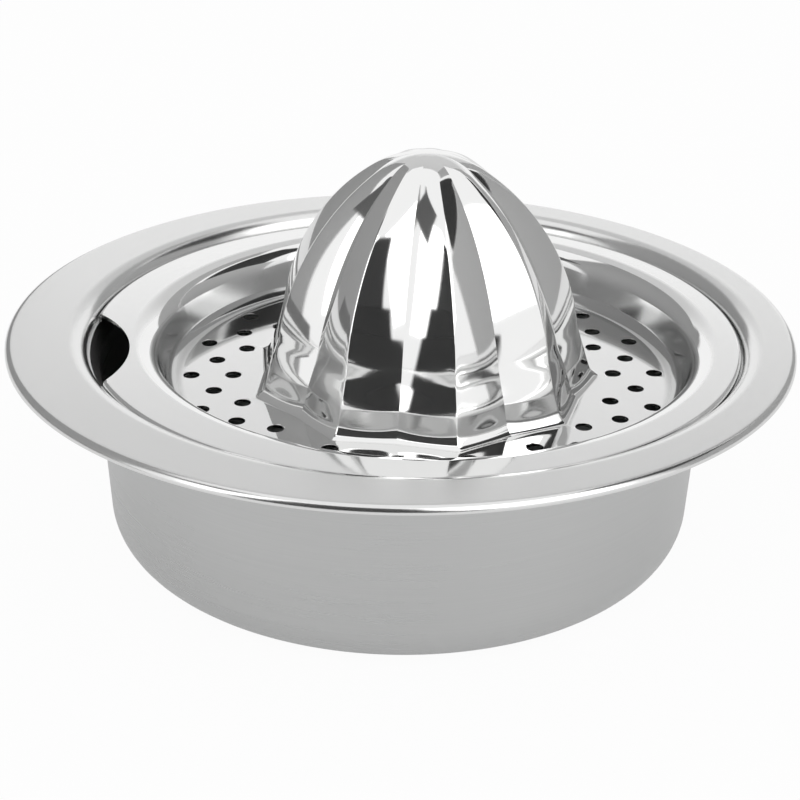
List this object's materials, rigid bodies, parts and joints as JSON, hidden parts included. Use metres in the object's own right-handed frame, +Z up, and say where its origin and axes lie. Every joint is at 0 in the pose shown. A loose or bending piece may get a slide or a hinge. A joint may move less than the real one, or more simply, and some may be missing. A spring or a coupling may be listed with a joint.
{
  "type": "citrus juicer",
  "caption": "Two-piece steel citrus juicer: a flanged bowl with a lift-out pressing that holds a fluted reamer, a perforated strainer and a pour notch.",
  "frame": {"origin": "centre of the bowl's flat underside, on the axis of the bowl and of its flange", "axes": "+Z up along the bowl's axis; -X towards the pour notch"},
  "size_m": [0.17, 0.17, 0.0869],
  "materials": {
    "satin_steel": "satin, faintly brushed round the wall, brighter on the flange",
    "polished_steel": "mirror polished"
  },
  "bodies": {
    "bowl": {"bowl": "satin_steel"},
    "reamer_pressing": {"reamer_pressing": "polished_steel"}
  },
  "joints": [
    {"name": "insert_lift", "type": "slide", "parent": "bowl", "child": "reamer_pressing", "axis": [0, 0, 1], "range_m": [0, 0.06]}
  ]
}
